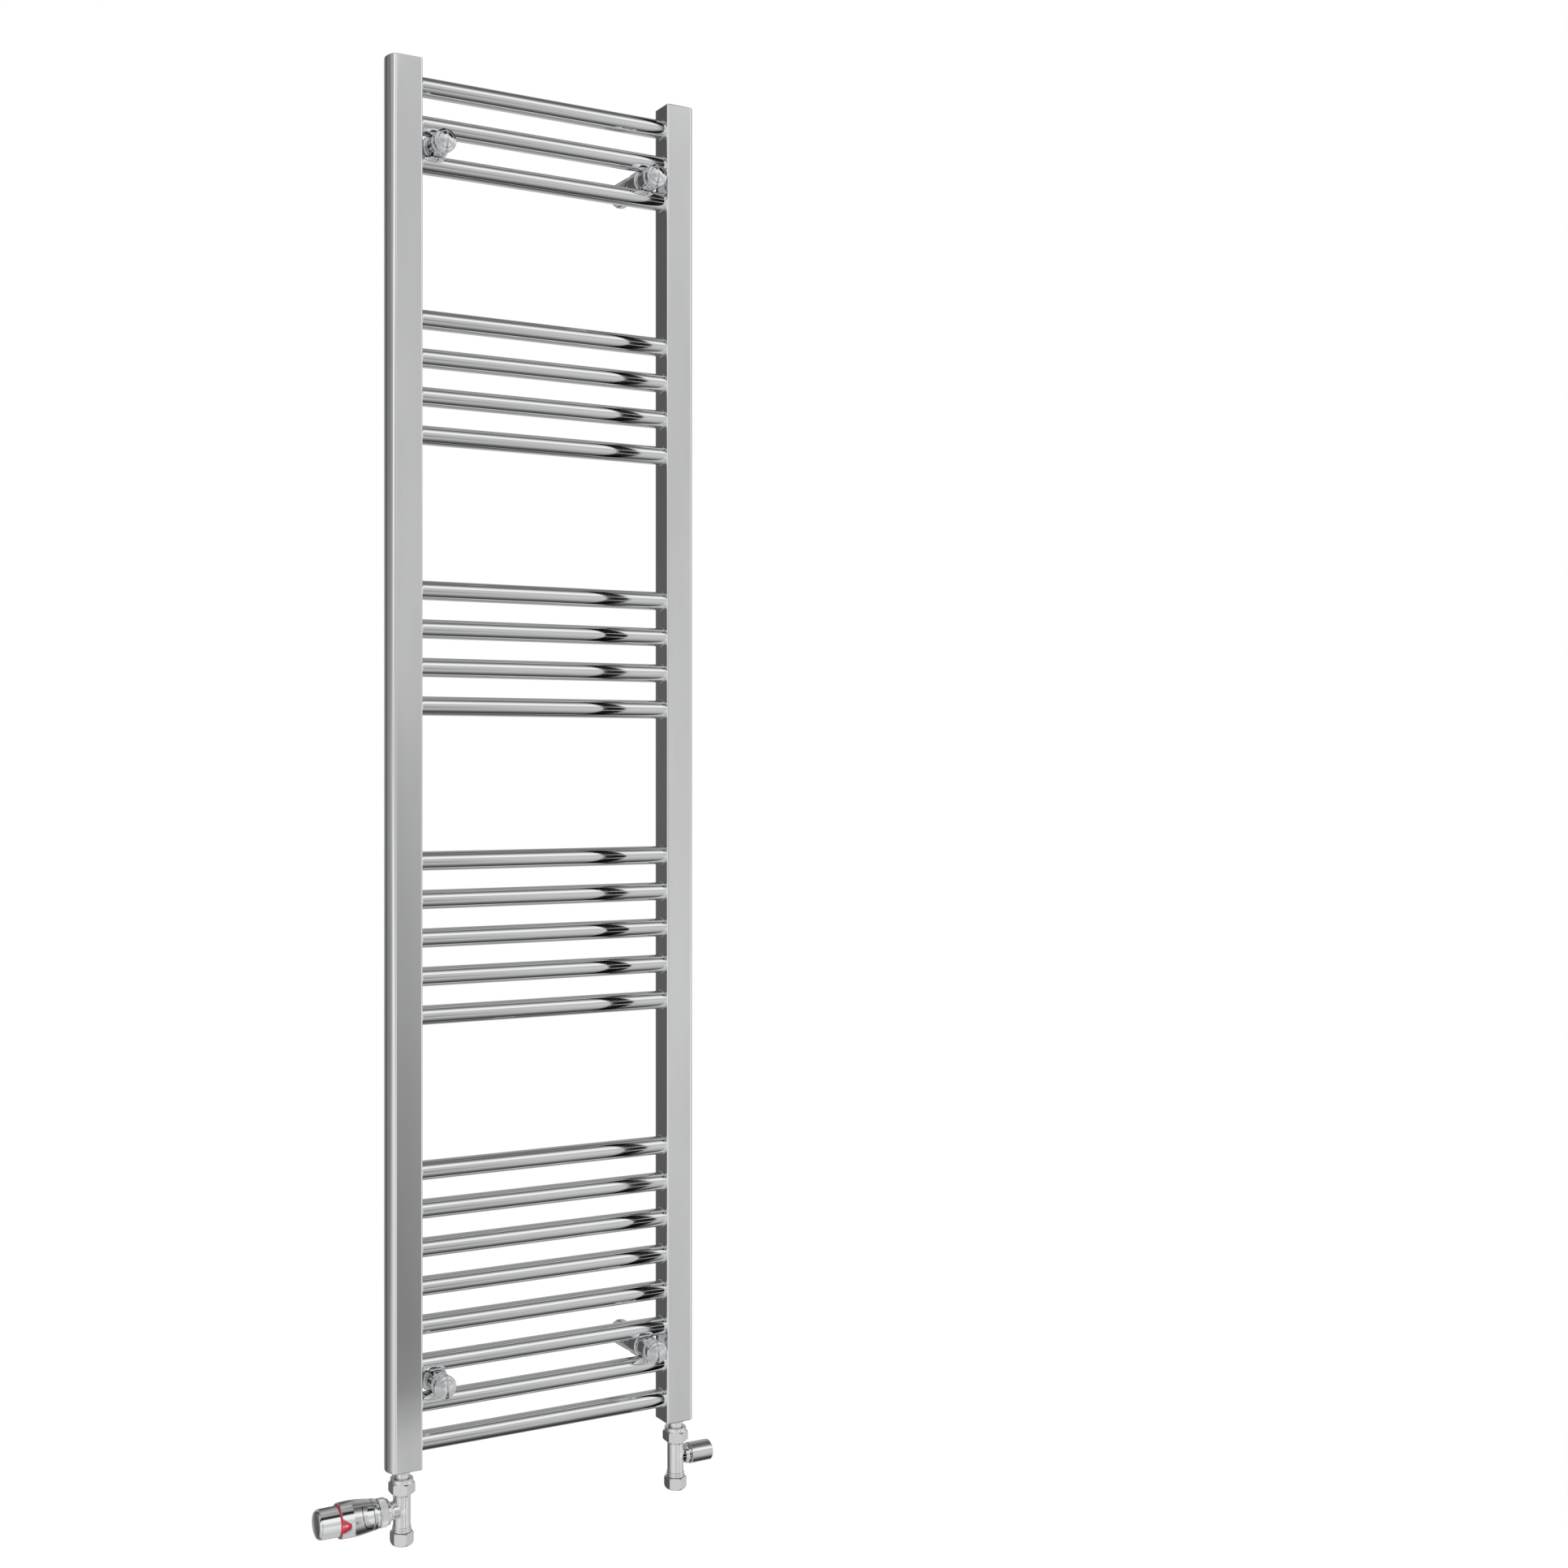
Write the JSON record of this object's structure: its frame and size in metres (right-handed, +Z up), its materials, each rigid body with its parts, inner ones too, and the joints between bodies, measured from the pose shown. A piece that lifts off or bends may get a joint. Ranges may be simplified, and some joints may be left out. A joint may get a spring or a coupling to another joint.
{
  "type": "ladder towel radiator with valves",
  "caption": "Straight chrome ladder towel radiator with grouped round rails, telescopic wall brackets, a thermostatic valve and a lockshield valve.",
  "frame": {"origin": "on the wall plane, at the centre of the four wall fixings", "axes": "+Z up along the uprights, +Y into the wall, +X to the right seen from the room; the thermostatic valve is at -X"},
  "size_m": [0.5115, 0.0985, 1.6855],
  "materials": {
    "chrome_steel": "polished chrome plate on steel tube",
    "chrome_bracket": "polished chrome plate on brackets",
    "chrome_brass": "polished chrome plate on brass valve parts",
    "chromed_plastic": "bright chromed plastic",
    "red_dial": "satin red plastic with white numerals",
    "bare_brass": "machined brass",
    "copper_capsule": "drawn copper capsule"
  },
  "bodies": {
    "wall_mounts": {"wall_socket_top_left": "chrome_bracket", "wall_socket_top_right": "chrome_bracket", "wall_socket_bottom_left": "chrome_bracket", "wall_socket_bottom_right": "chrome_bracket"},
    "radiator": {"upright_left": "chrome_steel", "upright_right": "chrome_steel", "rail_01": "chrome_steel", "rail_02": "chrome_steel", "rail_03": "chrome_steel", "rail_04": "chrome_steel", "rail_05": "chrome_steel", "rail_06": "chrome_steel", "rail_07": "chrome_steel", "rail_08": "chrome_steel", "rail_09": "chrome_steel", "rail_10": "chrome_steel", "rail_11": "chrome_steel", "rail_12": "chrome_steel", "rail_13": "chrome_steel", "rail_14": "chrome_steel", "rail_15": "chrome_steel", "rail_16": "chrome_steel", "rail_17": "chrome_steel", "rail_18": "chrome_steel", "rail_19": "chrome_steel", "rail_20": "chrome_steel", "rail_21": "chrome_steel", "rail_22": "chrome_steel", "rail_23": "chrome_steel", "rail_24": "chrome_steel", "bracket_arm_top_left": "chrome_bracket", "front_clamp_top_left": "chrome_bracket", "bracket_arm_top_right": "chrome_bracket", "front_clamp_top_right": "chrome_bracket", "bracket_arm_bottom_left": "chrome_bracket", "front_clamp_bottom_left": "chrome_bracket", "bracket_arm_bottom_right": "chrome_bracket", "front_clamp_bottom_right": "chrome_bracket", "air_vent_plug": "chrome_steel", "blanking_plug": "chrome_steel", "trv_body": "chrome_brass", "trv_compression_nut": "chrome_brass", "trv_union_nut": "chrome_brass", "trv_tail": "chrome_brass", "trv_ring_nut": "chrome_brass", "trv_base_band": "chromed_plastic", "trv_sleeve": "chromed_plastic", "lockshield_body": "chrome_brass", "lockshield_compression_nut": "chrome_brass", "lockshield_union_nut": "chrome_brass", "lockshield_tail": "chrome_brass", "lockshield_bonnet": "bare_brass"},
    "bleed_screw": {"bleed_screw": "bare_brass"},
    "trv_knob": {"trv_knob": "chromed_plastic", "trv_dial": "red_dial"},
    "trv_actuator": {"trv_sensor": "copper_capsule", "trv_pin": "bare_brass"},
    "lockshield_spindle": {"lockshield_spindle": "bare_brass"},
    "lockshield_plug": {"lockshield_plug": "bare_brass"},
    "lockshield_cap": {"lockshield_cap": "chromed_plastic"}
  },
  "joints": [
    {"name": "wall_distance", "type": "slide", "parent": "wall_mounts", "child": "radiator", "axis": [0, -1, 0], "range_m": [-0.005, 0.015]},
    {"name": "bleed_screw_turn", "type": "hinge", "parent": "radiator", "child": "bleed_screw", "pos_m": [-0.18, -0.049, 0.778], "axis": [0, 1, 0], "range_deg": [0, 360]},
    {"name": "trv_knob_turn", "type": "hinge", "parent": "radiator", "child": "trv_knob", "pos_m": [-0.18, -0.065, -0.8455], "axis": [1, 0, 0], "range_deg": [0, 300]},
    {"name": "trv_pin_travel", "type": "slide", "parent": "radiator", "child": "trv_actuator", "axis": [1, 0, 0], "range_m": [0, 0.0025]},
    {"name": "lockshield_spindle_turn", "type": "hinge", "parent": "radiator", "child": "lockshield_spindle", "pos_m": [0.18, -0.065, -0.8455], "axis": [-1, 0, 0], "range_deg": [-540, 540]},
    {"name": "lockshield_plug_travel", "type": "slide", "parent": "radiator", "child": "lockshield_plug", "axis": [-1, 0, 0], "range_m": [-0.0015, 0.0015]},
    {"name": "lockshield_cap_pull", "type": "slide", "parent": "radiator", "child": "lockshield_cap", "axis": [1, 0, 0], "range_m": [0, 0.032]}
  ],
  "couplings": [
    {"joint": "trv_knob_turn", "follows": "trv_pin_travel", "rad_per_m": 2094.4},
    {"joint": "lockshield_spindle_turn", "follows": "lockshield_plug_travel", "rad_per_m": 6283.2}
  ]
}
